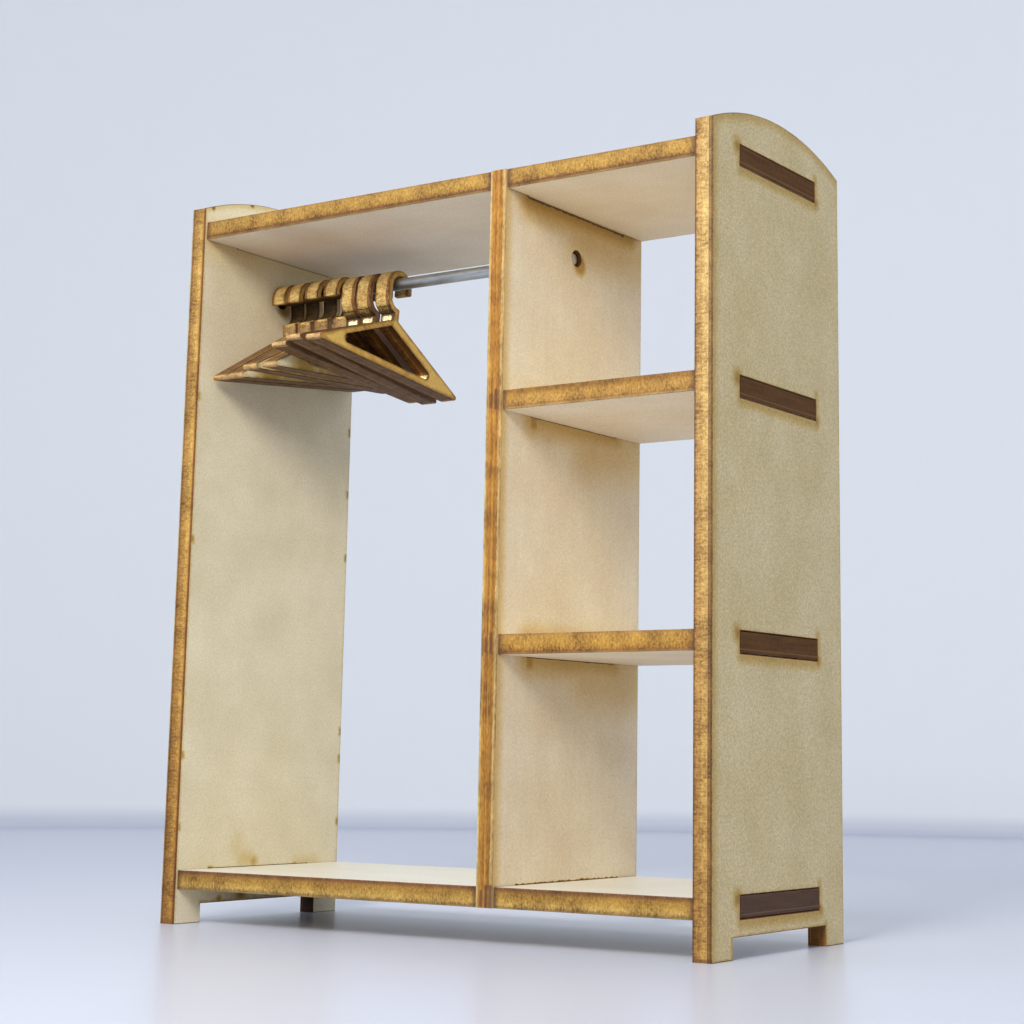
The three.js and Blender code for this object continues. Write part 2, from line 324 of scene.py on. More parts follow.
def cut_edge(name, thin, low, plies, hairs, fleck, seed, light, ragged, marks=(), foot=None):
    """Laser-cut birch plywood seen on its edge, golden brown and faintly satin: plies across the sheet,
    the beam's hairlines, flecks where bare core shines through, and dark marks. Plies are depths in mm
    from the low face, with colours. Hairs and fleck are sizes in mm along each axis, light scales the
    colour, and ragged is how far a ply's border strays, in mm. Foot is the share of the colour at the
    bottom of an upright: painted shade, darker towards the bottom."""
    material, tree, output = new_material(name)
    place = plan_place(tree)
    across = add_node(tree, "ShaderNodeSeparateXYZ", {0: place}).outputs[thin]
    across = add_node(tree, "ShaderNodeMath", {0: across, 1: low}, operation="SUBTRACT").outputs[0]
    # The beam's hairlines are about 0.1 mm apart, and drawn at a quarter of a millimetre, which shows.
    stripes = figure(tree, place, hairs, seed)
    flecks = figure(tree, place, fleck, seed + 2.9)
    clouds = figure(tree, place, (3.5, 3.5, 3.5), seed + 5.3)
    mottle = add_node(tree, "ShaderNodeMath", {0: stripes, 1: flecks}, operation="ADD").outputs[0]
    shifted = add_node(tree, "ShaderNodeMapRange", {
        "Value": mottle, "From Min": 0.75, "From Max": 1.25, "To Min": -ragged, "To Max": ragged,
    }).outputs[0]
    shifted = add_node(tree, "ShaderNodeMath", {0: across, 1: shifted}, operation="ADD").outputs[0]
    shifted = add_node(tree, "ShaderNodeMath", {0: shifted, 1: ply}, operation="DIVIDE").outputs[0]
    wood = fill_ramp(add_node(tree, "ShaderNodeValToRGB", {"Fac": shifted}), [
        (depth / ply, colour) for depth, colour in plies
    ])
    shade = add_node(tree, "ShaderNodeMath", {0: mottle, 1: clouds}, operation="ADD").outputs[0]
    shade = add_node(tree, "ShaderNodeMapRange", {
        "Value": shade, "From Min": 1.12, "From Max": 1.88, "To Max": 1.0,
    }).outputs[0]
    shade = add_node(tree, "ShaderNodeMix", {
        0: shade, 6: [light * part for part in browned_share], 7: [light * part for part in bared_share],
    }, data_type="RGBA").outputs[2]
    wood = add_node(tree, "ShaderNodeVectorMath", {0: wood, 1: shade}, operation="MULTIPLY").outputs[0]
    # Painted shade: the colour darkens towards the foot of an upright.
    if foot:
        height = add_node(tree, "ShaderNodeSeparateXYZ", {0: place}).outputs[2]
        height = add_node(tree, "ShaderNodeMapRange", {
            "Value": height, "From Min": foot_level, "From Max": unshaded_level,
        }).outputs[0]
        painted_foot_shade = add_node(tree, "ShaderNodeMix", {
            0: height, 6: foot, 7: (1, 1, 1, 1),
        }, data_type="RGBA").outputs[2]
        wood = add_node(tree, "ShaderNodeVectorMath", {
            0: wood, 1: painted_foot_shade,
        }, operation="MULTIPLY").outputs[0]
    if marks:
        burn_and_shade = burn_and_shade_mask(tree, place, marks)
        wood = add_node(tree, "ShaderNodeMix", {
            0: burn_and_shade, 6: wood, 7: linear("#4a2a1a"),
        }, data_type="RGBA").outputs[2]
    relief = add_node(tree, "ShaderNodeBump", {"Height": stripes, "Strength": 0.5, "Distance": 0.06 * mm})
    shader = add_node(tree, "ShaderNodeBsdfPrincipled", {
        "Base Color": wood, "Normal": relief.outputs[0], "Roughness": 0.6, "IOR": 1.4,
    })
    tree.links.new(shader.outputs[0], output.inputs[0])
    return material


def charred_edge(name, thin, low, tones, seed):
    """Birch plywood charred by the beam, chocolate brown and dull: the walls of mortises and notches,
    and the tenons' ends. It is hatched across, with one paler glue line half a millimetre deep."""
    material, tree, output = new_material(name)
    place = plan_place(tree)
    # Hatching 0.2 mm wide, and the sheet's layers, half a millimetre thick.
    hatch = [0.2, 0.2, 0.2]
    hatch[thin] = 1.2
    stripes = figure(tree, place, hatch, seed)
    layers = [9, 9, 9]
    layers[thin] = 0.5
    bands = figure(tree, place, layers, seed + 4.4)
    shade = add_node(tree, "ShaderNodeMath", {0: stripes, 1: bands}, operation="ADD").outputs[0]
    shade = add_node(tree, "ShaderNodeMapRange", {
        "Value": shade, "From Min": 0.5, "From Max": 1.5,
    }).outputs[0]
    wood = add_node(tree, "ShaderNodeMix", {
        0: shade, 6: linear(tones[0]), 7: linear(tones[1]),
    }, data_type="RGBA").outputs[2]
    across = add_node(tree, "ShaderNodeSeparateXYZ", {0: place}).outputs[thin]
    across = add_node(tree, "ShaderNodeMath", {0: across, 1: low + 0.5}, operation="SUBTRACT").outputs[0]
    across = add_node(tree, "ShaderNodeMath", {0: across}, operation="ABSOLUTE").outputs[0]
    glue = add_node(tree, "ShaderNodeMapRange", {
        "Value": across, "From Max": 0.14, "To Min": 0.75, "To Max": 0.0,
    }).outputs[0]
    wood = add_node(tree, "ShaderNodeMix", {
        0: glue, 6: wood, 7: linear(tones[2]),
    }, data_type="RGBA").outputs[2]
    relief = add_node(tree, "ShaderNodeBump", {"Height": stripes, "Strength": 0.5, "Distance": 0.06 * mm})
    shader = add_node(tree, "ShaderNodeBsdfPrincipled", {
        "Base Color": wood, "Normal": relief.outputs[0], "Roughness": 0.8, "IOR": 1.4,
        "Specular IOR Level": 0.2,
    })
    tree.links.new(shader.outputs[0], output.inputs[0])
    return material


def work_on(piece):
    """Selects this piece alone, for the operators that follow."""
    bpy.ops.object.select_all(action="DESELECT")
    piece.select_set(True)
    bpy.context.view_layer.objects.active = piece


def merge_triangles():
    """Joins a solid's loose triangles into whole faces. It stays in edit mode, with nothing selected."""
    bpy.ops.object.mode_set(mode="EDIT")
    bpy.ops.mesh.select_all(action="SELECT")
    bpy.ops.mesh.remove_doubles(threshold=0.001 * mm)
    bpy.ops.mesh.dissolve_limited(angle_limit=radians(0.5))
    bpy.ops.mesh.select_mode(type="EDGE")
    bpy.ops.mesh.select_all(action="DESELECT")


def select_rims(shape, thin):
    """Selects the rims, where the flat faces that look along one axis meet the cut ones between them."""
    for edge in shape.edges:
        flat = [abs(face.normal[thin]) > 0.5 for face in edge.link_faces]
        edge.select_set(flat[0] != flat[1])


def cut_sheet(node_name, thin, finishes, charred, tight=()):
    """A piece cut from sheet, after its solid: rims eased, and its surfaces given their finishes, which
    are for the low face, the high face, the cut edges, and the edges inside the charred boxes. Tight
    pairs are levels, loose and closed, where the photograph shows a mortise closing up to its tenon."""
    piece = bpy.data.objects.new(node_name + "_plywood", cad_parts[node_name].data.copy())
    bpy.context.scene.collection.objects.link(piece)
    work_on(piece)
    bpy.ops.mesh.customdata_custom_splitnormals_clear()
    merge_triangles()
    shape = bmesh.from_edit_mesh(piece.data)
    for vert in shape.verts:
        for loose, closed in tight:
            if abs(vert.co.z - loose * mm) < 0.01 * mm:
                vert.co.z = closed * mm
    select_rims(shape, thin)
    bmesh.update_edit_mesh(piece.data)
    bpy.ops.mesh.bevel(offset=arris * mm, segments=2, affect="EDGES", loop_slide=False)
    bpy.ops.object.mode_set(mode="OBJECT")
    piece.data.materials.clear()
    for finish in finishes:
        piece.data.materials.append(finish)
    for face in piece.data.polygons:
        middle = face.center / mm
        if abs(face.normal[thin]) > 0.99:
            face.material_index = int(face.normal[thin] > 0)
        else:
            face.material_index = 2 + any(
                all(a <= m <= b for a, m, b in zip(lowest, middle, highest))
                for lowest, highest in charred
            )
    bpy.ops.object.shade_smooth_by_angle(angle=radians(20))
    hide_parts(node_name)
    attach(piece, "carcass")


def upright_box(front_to_rear, levels):
    """A box through the whole thickness of an upright, from its range front to rear and its levels."""
    (foremost, rearmost), (low, high) = front_to_rear, levels
    return (-beyond, foremost, low), (beyond, rearmost, high)


def upright_mark(front_to_rear, levels, reach, strength):
    """A box on an upright, for the burns and the painted shade of its faces."""
    return (*upright_box(front_to_rear, levels), reach, strength)


def mortise_box(level):
    """The space that a mortise takes, with a little round it."""
    start, end = mortise_span
    return upright_box((start - 0.2, end + 0.2), (level - 0.4, level + ply + 0.4))


# A thin ring of soot round the rail's hole, and a stronger patch below and behind it.
rail_hole_burn = [
    ((0, rail_level), rail_hole, -1, 0.2, 0.5),
    ((0.9, rail_level - 0.9), 1.1, -1, 1.5, 0.76),
]
side_charred = [
    upright_box((-foot_inner_end - 0.2, foot_inner_end + 0.2), (under_all, notch_top + 0.2)),
    upright_box((-rail_hole - 0.2, rail_hole + 0.2),
                (rail_level - rail_hole - 0.2, rail_level + rail_hole + 0.2)),
]
foot_marks = [upright_mark((front - 0.5, rear + 0.5), (under_all, 0.1), 0.9, 0.6)]
# The left panel's browning: along its edges, its foot notch and its mortises, then painted shade below
# the top panel, spots round the bottom panel, and dots on the edges where the beam lingered.
left_burns_and_shade = [
    upright_mark((front, front), (0, corner_level), 0.7, 0.45),
    upright_mark((rear, rear), (0, corner_level), 0.6, 0.3),
    upright_mark((-foot_inner_end, foot_inner_end), (notch_top, notch_top), 0.7, 0.6),
    upright_mark(mortise_span, (5.3, 8.5), 0.5, 0.2),
    upright_mark(mortise_span, (113.4, 116.6), 0.8, 0.35),
    # Painted shade below the top panel, stronger towards the front.
    upright_mark((-19, rear), (113.4, 114), 6, 0.26),
    upright_mark((-19, -8), (113.4, 114), 3, 0.4),
    upright_mark((-4.6, -4.4), (4.0, 4.1), 2.4, 0.8),
    upright_mark((-9.8, -9.7), (3.3, 3.5), 1.1, 0.8),
    upright_mark((-1.7, -1.7), (9.3, 9.4), 1.7, 0.66),
    upright_mark((-4.4, -3.0), (9.8, 9.8), 2.6, 0.34),
    upright_mark((-5.8, -5.8), (11.5, 12.6), 2.8, 0.2),
    upright_mark((-12.4, -11.8), (8.5, 8.6), 0.6, 0.9),
    upright_mark((8.6, 9.0), (8.5, 8.6), 0.7, 0.7),
    upright_mark((9.5, 14), (8.5, 8.6), 2.4, 0.22),
    *(upright_mark((front, -19.7), (z, z + 0.7), 0.9, 0.75) for z in (86.0, 62.0, 26.6, 15.0)),
    *(upright_mark((19.7, rear), (z, z + 0.9), 0.8, 0.8) for z in (85.0, 73.6, 62.0, 30.8, 26.0, 15.0)),
    *(upright_mark((y, y + 0.4), (z, z + 0.5), 0.8, 0.92) for y, z in ((-18.4, 119.3), (-8.8, 122.0))),
]
left_plies = [
    (0.0, "#cbc8aa"), (0.2, "#b9a878"), (0.34, "#7c5228"), (0.5, "#926a35"), (0.75, "#ac8349"),
    (1.2, "#b08a4c"), (1.6, "#ba9452"), (1.95, "#cda75c"), (2.35, "#cfa85c"), (2.6, "#b88c4a"),
    (2.76, "#7e4f24"), (2.95, "#7b4a20"), (3.0, "#8a5a2c"),
]
# The beam runs through the sheet, so its hairlines lie across the plies.
upright_hairs, upright_fleck = (0.9, 0.24, 0.24), (0.3, 0.5, 0.5)
left_face = birch_veneer(
    "bare_birch_veneer_left", ("#e4d8ba", "#d6caa8"), 1, 1.0, left_burns_and_shade,
    [(arch_middle, arch_radius, 1, 1.4, 0.4)] + rail_hole_burn, grain_share=0.12)
left_edge = cut_edge(
    "laser_cut_birch_edge_left", 0, left_outer, left_plies, upright_hairs, upright_fleck, 1.0,
    light=0.7, ragged=0.06, marks=foot_marks, foot=foot_shade_share)
left_char = charred_edge("charred_birch_edge_left", 0, left_outer, ("#38241a", "#513a2a", "#6a4e38"), 1.0)
# The char stops short of the inner face, where the mortises' rims stayed as pale as the veneer.
left_mortises = [
    (lowest, (left_inner - 0.12, *highest[1:]))
    for lowest, highest in map(mortise_box, (bottom_level, top_level))
]
bay_floor = bottom_level + ply
cut_sheet(
    "left_side_panel", 0, [left_face, left_face, left_edge, left_char], left_mortises + side_charred,
    tight=[(top_level - mortise_room, top_level - closed_room),
           (bay_floor + mortise_room, bay_floor + closed_room)])

# Right side panel
# The same outline, with two more mortises for the shelves. The beam left an orange burn at the front
# upper and the rear lower corner of each mortise, where it started and stopped.
right_inner = 48.4
shelf_levels = (42.1, 78.9)
right_levels = (bottom_level, *shelf_levels, top_level)


def mortise_burns(level):
    """The browning round a mortise on the face that the beam entered."""
    return [
        upright_mark(mortise_span, (level, level + ply), 0.4, 0.95),
        upright_mark(mortise_span, (level - 0.6, level + 2.2), 1.6, 0.55),
        upright_mark((-12.8, -12.5), (level + 2.5, level + 2.8), 2.1, 0.76),
        upright_mark((12.2, 12.3), (level - 0.3, level), 1.7, 0.76),
        upright_mark((12.1, 12.1), (level + 3, level + 3.9), 1.2, 0.5),
        upright_mark((-11.8, -11.7), (level - 0.9, level), 1.6, 0.45),
    ]


right_burns = [
    upright_mark((front, front), (0, corner_level), 0.45, 0.85),
    upright_mark((front, front), (0, corner_level), 2.4, 0.5),
    upright_mark((rear, rear), (0, corner_level), 0.6, 0.35),
    upright_mark((-foot_inner_end, foot_inner_end), (notch_top, notch_top), 0.5, 0.55),
    upright_mark((-14.4, -foot_inner_end), (0, notch_top), 0.4, 0.5),
    upright_mark((foot_inner_end, 14.2), (0, 3.4), 0.6, 0.6),
    upright_mark((front, rear), (0, 0), 0.35, 0.75),
    *(burn for level in right_levels for burn in mortise_burns(level)),
]
right_plies = [
    (0.0, "#5e3c24"), (0.22, "#84603a"), (0.4, "#b08c5c"), (0.8, "#be9c64"), (1.15, "#b9955a"),
    (1.5, "#c9ac75"), (2.15, "#c6a86f"), (2.31, "#cfb47e"), (2.38, "#6b4c30"), (2.47, "#937650"),
    (2.72, "#8e7149"), (2.84, "#644629"), (3.0, "#86683c"),
]
right_arch = [(arch_middle, arch_radius, 1, 2.2, 0.5), (arch_middle, arch_radius, 1, 0.5, 0.7)]
# Its tones are darker than the left panel's: painted shade, for an outer face that gets less light.
right_face = birch_veneer(
    "bare_birch_veneer_right", ("#dbc799", "#ceb986"), 2, 2.0, right_burns, right_arch,
    grain_share=0.06, speckle=0.2)
right_edge = cut_edge(
    "laser_cut_birch_edge_right", 0, right_inner, right_plies, upright_hairs, upright_fleck, 2.0,
    light=0.75, ragged=0.06, marks=foot_marks, foot=foot_shade_share)
right_char = charred_edge(
    "charred_birch_edge_right", 0, right_inner, ("#674021", "#a4723f", "#b98d5a"), 2.0)
right_mortises = [mortise_box(level) for level in right_levels]
cut_sheet(
    "right_side_panel", 0, [right_face, right_face, right_edge, right_char],
    right_mortises + side_charred)

# Top and bottom panels
# One long panel each, through both bays. A tenon at each end goes through a side panel and ends flush
# with it, and the divider's horns sit in a notch at the front and one at the rear.
divider_left, divider_right = 11.6, 14.6
right_outer = 51.4
# What is charred of a panel: the tenons' ends, and the notches behind the divider's horns.
past_tenon, behind_horn = 13, 19.3
left_tenon = ((left_outer - 1, -past_tenon, 0), (left_inner - 0.2, past_tenon, over_all))
right_tenon = ((right_inner + 0.2, -past_tenon, 0), (right_outer + 1, past_tenon, over_all))
horn_notches = ((divider_left - 0.3, -behind_horn, 0), (divider_right + 0.3, behind_horn, over_all))
level_hairs, level_fleck = (0.26, 0.26, 0.7), (0.36, 0.36, 0.36)
bottom_plies = [
    (0.0, "#a59168"), (0.15, "#9b865a"), (0.28, "#8f6e3b"), (0.5, "#b09052"), (0.75, "#c3a25c"),
    (1.2, "#ba974c"), (1.7, "#af8a41"), (2.2, "#a7803e"), (2.55, "#8f6530"), (2.75, "#7a502e"),
    (3.0, "#86614a"),
]
top_plies = [
    (0.0, "#a8926a"), (0.15, "#94744a"), (0.36, "#764b20"), (0.5, "#7d5425"), (0.75, "#9d763a"),
    (1.0, "#ab853d"), (1.7, "#b89247"), (2.6, "#b5904d"), (2.85, "#a98345"), (3.0, "#9c7842"),
]
# The front and rear edges are darker beside each joint, and their rims are browned from end to end.
joint_marks = [
    ((-beyond, front, under_all), (left_inner + 0.1, rear, over_all), 1.2, 0.75),
    ((right_inner - 0.1, front, under_all), (beyond, rear, over_all), 1.2, 0.75),
    ((divider_left - 0.2, front, under_all), (divider_right + 0.2, rear, over_all), 1.0, 0.75),
]
long_edge_burns = [
    ((-beyond, -19.5, under_all), (beyond, -19.5, over_all), 0.6, 0.62),
    ((-beyond, 19.5, under_all), (beyond, 19.5, over_all), 0.5, 0.5),
]
horn_end = 14
panel_burns = [
    *long_edge_burns,
    ((divider_left, -horn_end, under_all), (divider_right, horn_end, over_all), 0.5, 0.5),
]
chocolate = ("#482d17", "#73502c", "#8d6a40")
for panel_name, low, plies, char_tones, seed in (
    ("top_panel", top_level, top_plies, chocolate, 3.0),
    ("bottom_panel", bottom_level, bottom_plies, ("#4c372c", "#6a5142", "#7c6350"), 4.0),
):
    # The under faces' paler tones are painted light, and the upper faces' greyer ones a painted sheen of
    # the pale room.
    under = birch_veneer(
        f"bare_birch_veneer_{panel_name}_under", ("#f6e7cb", "#ecd9b9"), 0, seed, panel_burns)
    upper = birch_veneer(
        f"bare_birch_veneer_{panel_name}_upper", ("#dcdacd", "#d5cfbd"), 0, seed + 0.5, panel_burns,
        roughness=0.4)
    edge = cut_edge(
        f"laser_cut_birch_edge_{panel_name}", 2, low, plies, level_hairs, level_fleck, seed,
        light=0.67, ragged=0.1, marks=joint_marks)
    char = charred_edge(f"charred_birch_edge_{panel_name}", 2, low, char_tones, seed)
    cut_sheet(panel_name, 2, [under, upper, edge, char], [left_tenon, right_tenon, horn_notches])

# Divider
# The upright between the bays. Its horns fill the notches of the top and bottom panels, its edges bear
# on those panels between the horns, and it carries the shelves' tenons and the rail's other end.
divider_plies = [
    (0.0, "#d6d0b6"), (0.15, "#cfbb8c"), (0.3, "#cea96b"), (0.55, "#c28d40"), (1.2, "#ad7524"),
    (1.55, "#bd8a40"), (1.9, "#aa7626"), (2.25, "#ab7728"), (2.45, "#b98f50"), (2.6, "#cbb183"),
    (2.75, "#c4a571"), (3.0, "#b89762"),
]
# Dark lines on the front edge, each from left to right within the sheet and from level to level.
divider_marks = [
    ((divider_left + left, front, low), (divider_left + right, front + 1, high), reach, strength)
    for left, right, low, high, reach, strength in (
        *((0.85, 1.0, z, z + 1.9, 0.4, 0.65) for z in (42.6, 79.4, 5.9)),
        *((1.75, 1.9, z, z + 2.8, 0.4, 0.8) for z in (42.4, 79.2, 5.7)),
        (2.5, 2.7, 5.4, 8.6, 0.4, 0.8),
        (0.3, 0.4, 42.0, 45.0, 0.3, 0.5),
    )
]
divider_burns_and_shade = [
    upright_mark((-19.75, -19.75), (0, corner_level), 2.6, 0.55),
    upright_mark((19.75, 19.75), (0, corner_level), 0.5, 0.3),
    upright_mark((-13.7, 14), (113.3, 114), 0.45, 0.95),
    upright_mark((-13.4, 16), (113.3, 114), 5.4, 0.78),
    # Painted shade, with some smoke, below the top panel towards the rear.
    upright_mark((2, rear), (111, 114), 9, 0.42),
    upright_mark((-horn_end, horn_end), (8, 8.62), 0.2, 0.92),
    *(burn for level in shelf_levels for burn in (
        upright_mark(mortise_span, (level, level + ply), 0.35, 0.92),
        upright_mark((-11.6, 12.4), (level - 0.2, level + 2), 4.6, 0.64),
        # Painted shade below the shelf, towards the rear.
        upright_mark((4, rear), (level - 3, level), 8, 0.36),
        upright_mark((-11.5, -10.9), (level - 1.2, level), 2.2, 0.76),
        upright_mark((10.8, 12.2), (level - 0.2, level), 2.2, 0.7),
    )),
]
# Its tones are paler than the side panels': painted light, for a face deep in the bay.
divider_face = birch_veneer(
    "bare_birch_veneer_divider", ("#f4e7cc", "#e9d6b6"), 2, 5.0, divider_burns_and_shade, rail_hole_burn)
# Its foot share is painted shade, darker towards the bottom.
divider_edge = cut_edge(
    "laser_cut_birch_edge_divider", 0, divider_left, divider_plies, (0.22, 3, 9), (0.3, 0.9, 0.9), 5.0,
    light=0.64, ragged=0.04, marks=divider_marks, foot=(0.9, 0.93, 0.95, 1))
divider_char = charred_edge("charred_birch_edge_divider", 0, divider_left, chocolate, 5.0)
divider_charred = [
    *(mortise_box(level) for level in shelf_levels),
    upright_box((-horn_end, horn_end), (0, bay_floor + 0.5)),
    upright_box((-horn_end, horn_end), (top_level - 0.5, over_all)),
    side_charred[1],
]
cut_sheet(
    "divider", 0, [divider_face, divider_face, divider_edge, divider_char], divider_charred,
    tight=[(level - mortise_room, level - closed_room) for level in shelf_levels])

# Shelves
# Two short shelves in the narrow bay, each with a tenon through the divider and one through the right
# side panel. Their front edges show the same golden core between two brown lines.
lower_shelf_plies = [
    (0.0, "#b69b74"), (0.15, "#a37b48"), (0.32, "#93642d"), (0.65, "#ad8039"), (1.1, "#bd903f"),
    (1.7, "#c39744"), (2.6, "#c0954b"), (3.0, "#ac8252"),
]
upper_shelf_plies = [
    (0.0, "#c0ac8c"), (0.2, "#b5945f"), (0.4, "#a17338"), (0.75, "#b78d4a"), (1.6, "#c0964c"),
    (1.9, "#bc9147"), (2.3, "#a97d38"), (2.6, "#9c7032"), (3.0, "#a07846"),
]
shelf_marks = [
    ((divider_left, front, under_all), (divider_right + 0.1, rear, over_all), 1.1, 0.7),
    ((right_inner - 0.1, front, under_all), (beyond, rear, over_all), 1.1, 0.7),
]
divider_tenon = ((divider_left - 1, -past_tenon, 0), (divider_right - 0.2, past_tenon, over_all))
for shelf_name, low, plies, seed in (
    ("lower_shelf", shelf_levels[0], lower_shelf_plies, 6.0),
    ("upper_shelf", shelf_levels[1], upper_shelf_plies, 7.0),
):
    # The under faces' paler tones are painted light.
    under = birch_veneer(
        f"bare_birch_veneer_{shelf_name}_under", ("#faecd5", "#f0dfc2"), 0, seed, long_edge_burns)
    upper = birch_veneer(
        f"bare_birch_veneer_{shelf_name}_upper", ("#efe8d3", "#e4dabc"), 0, seed + 0.5, long_edge_burns)
    edge = cut_edge(
        f"laser_cut_birch_edge_{shelf_name}", 2, low, plies, level_hairs, level_fleck, seed,
        light=0.6, ragged=0.1, marks=shelf_marks)
    char = charred_edge(f"charred_birch_edge_{shelf_name}", 2, low, chocolate, seed)
    cut_sheet(shelf_name, 2, [under, upper, edge, char], [divider_tenon, right_tenon])

# Hanging rail
# A cut length of bright drawn steel rod with eased ends. It rests in the holes of the left side panel
# and the divider, half a millimetre short of their outer faces.
rail_start, rail_end = -50.9, 14.1
rail_radius, rail_sides, eased_end = 1, 64, 0.2
shaded_until, bright_from = -34, -31

bpy.ops.object.select_all(action="DESELECT")
bpy.ops.mesh.primitive_cylinder_add(
    vertices=rail_sides, radius=rail_radius * mm, depth=(rail_end - rail_start) * mm,
    location=Vector(((rail_start + rail_end) / 2, 0, rail_level)) * mm, rotation=(0, radians(90), 0),
)
rod = bpy.context.object
rod.name = "hanging_rail_rod"
bpy.ops.object.transform_apply(location=True, rotation=True, scale=True)
bpy.ops.object.mode_set(mode="EDIT")
bpy.ops.mesh.select_mode(type="EDGE")
bpy.ops.mesh.select_all(action="DESELECT")
select_rims(bmesh.from_edit_mesh(rod.data), 0)
bmesh.update_edit_mesh(rod.data)
bpy.ops.mesh.bevel(offset=eased_end * mm, segments=3, affect="EDGES")
bpy.ops.object.mode_set(mode="OBJECT")
bpy.ops.object.shade_smooth_by_angle(angle=radians(35))

# Drawn steel: a bright metal with fine lines along the rod and a few duller patches from handling. Near
# the left side panel, under the first hangers, it turns brown: painted shade and painted reflection of
# the dark hangers. The drawing lines are finer than can show, and are drawn 0.12 mm wide.
drawn_steel, tree, output = new_material("bright_drawn_steel")
place = plan_place(tree)
lines = figure(tree, place, (30, 0.12, 0.12), 9.0)
patches = figure(tree, place, (3, 1, 1), 9.5)
gloss = add_node(tree, "ShaderNodeMapRange", {
    "Value": patches, "From Min": 0.3, "From Max": 0.7, "To Min": 0.32, "To Max": 0.5,
}).outputs[0]
tone = fill_ramp(add_node(tree, "ShaderNodeValToRGB", {"Fac": lines}), [
    (0.3, "#b3b8ba"), (0.7, "#d3d8da"),
])
worn = add_node(tree, "ShaderNodeMapRange", {
    "Value": patches, "From Min": 0.35, "From Max": 0.65, "To Min": 0.8, "To Max": 1.0,
}).outputs[0]
tone = add_node(tree, "ShaderNodeVectorMath", {0: tone, "Scale": worn}, operation="SCALE").outputs[0]
# Painted shade and reflection: brown towards the left side panel.
along = add_node(tree, "ShaderNodeSeparateXYZ", {0: place}).outputs[0]
bright = add_node(tree, "ShaderNodeMapRange", {
    "Value": along, "From Min": shaded_until, "From Max": bright_from,
}).outputs[0]
tone = add_node(tree, "ShaderNodeMix", {
    0: bright, 6: linear("#5c4a33"), 7: tone,
}, data_type="RGBA").outputs[2]
relief = add_node(tree, "ShaderNodeBump", {"Height": lines, "Strength": 0.2, "Distance": 0.01 * mm})
shader = add_node(tree, "ShaderNodeBsdfPrincipled", {
    "Base Color": tone, "Metallic": 1.0, "Roughness": gloss, "Normal": relief.outputs[0],
})
tree.links.new(shader.outputs[0], output.inputs[0])
rod.data.materials.append(drawn_steel)

# Sawn steel: the two cut ends, dull, dark and a little brown from the saw and from the beam's smoke.
sawn_steel, tree, output = new_material("dull_sawn_steel_end")
shader = add_node(tree, "ShaderNodeBsdfPrincipled", {
    "Base Color": linear("#c9bda6"), "Metallic": 0.8, "Roughness": 0.34,
})
tree.links.new(shader.outputs[0], output.inputs[0])
rod.data.materials.append(sawn_steel)
for face in rod.data.polygons:
    face.material_index = int(abs(face.normal.x) > 0.9)
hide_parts("hanging_rail")
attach(rod, "carcass")

# Clothes hangers
# Seven hangers, each cut from one piece of the same plywood: a hook like a question mark, a neck, two
# shoulders and a bar. The beam browned such slim pieces all over. One is made, and the rest are copies.
# Each hanger hangs at its own tilt, and the first four have hooks that open to the front.
hanger_tilts = [radians(turn) for turn in (5.8, 5.8, 2.4, 2.4, -6.2, -8.5, -7.7)]
front_opening = 4
hanger_width, hanger_height = (-20.4, 20.4), (-18.5, 3.5)
slice_step, first_slice, rim_step = 0.5, 0.013, 0.15
# The level and the point are in a hanger's own plane, from the rail's axis.
shoulder_level = -6.4
window_middle = Vector((0, 0.3, -11.5))

pattern = bpy.data.objects.new("hanger_pattern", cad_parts["hanger_7"].data.copy())
bpy.context.scene.collection.objects.link(pattern)
work_on(pattern)
bpy.ops.mesh.customdata_custom_splitnormals_clear()
lowest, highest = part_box("hanger_7")
pattern.location = (-(lowest.x + highest.x) / 2, 0, -rail_level * mm)
bpy.ops.object.transform_apply(location=True, rotation=False, scale=False)
pattern.rotation_euler = (-hanger_tilts[-1], 0, 0)
bpy.ops.object.transform_apply(location=False, rotation=True, scale=False)
merge_triangles()
shape = bmesh.from_edit_mesh(pattern.data)
select_rims(shape, 0)
rim = []
for edge in shape.edges:
    if edge.select and edge.verts[0].co.x > 0:
        start, end = (vert.co / mm for vert in edge.verts)
        steps = 1 + int((end - start).length / rim_step)
        rim += [start.lerp(end, step / steps) for step in range(steps)]
bmesh.update_edit_mesh(pattern.data)
bpy.ops.mesh.bevel(offset=arris * mm, segments=2, affect="EDGES", loop_slide=False, clamp_overlap=False)
for direction, (start, end) in (((0, 1, 0), hanger_width), ((0, 0, 1), hanger_height)):
    for step in range(int((end - start) / slice_step) + 1):
        at = [(start + step * slice_step + first_slice) * mm * part for part in direction]
        bpy.ops.mesh.select_all(action="SELECT")
        bpy.ops.mesh.bisect(plane_co=at, plane_no=direction)
bpy.ops.object.mode_set(mode="OBJECT")

# The pattern keeps, at each point, its place in the hanger's own plane and how far it is from a cut. The
# slices gave its faces enough points for that.
tree_of_rim = KDTree(len(rim))
for index, point in enumerate(rim):
    tree_of_rim.insert((0, point.y, point.z), index)
tree_of_rim.balance()
places = [vert.co / mm for vert in pattern.data.vertices]
plan = pattern.data.attributes.new("plan", "FLOAT_VECTOR", "POINT")
for point, value in zip(places, plan.data):
    value.vector = point
from_cut = pattern.data.attributes.new("from_cut", "FLOAT", "POINT")
for point, value in zip(places, from_cut.data):
    value.value = tree_of_rim.find((0, point.y, point.z))[2]


def plan_figure(tree, size, seed, detail=2.0):
    """The wood's figure on a hanger, in its own plane, and different on each. Pores and hairlines are as
    coarse as on the panels, to show."""
    plan_at = add_node(tree, "ShaderNodeAttribute", attribute_name="plan").outputs["Vector"]
    own = add_node(tree, "ShaderNodeAttribute", attribute_name="own").outputs["Fac"]
    shifted = add_node(tree, "ShaderNodeVectorMath", {0: plan_at, 1: own}, operation="ADD").outputs[0]
    return figure(tree, shifted, size, seed, detail)


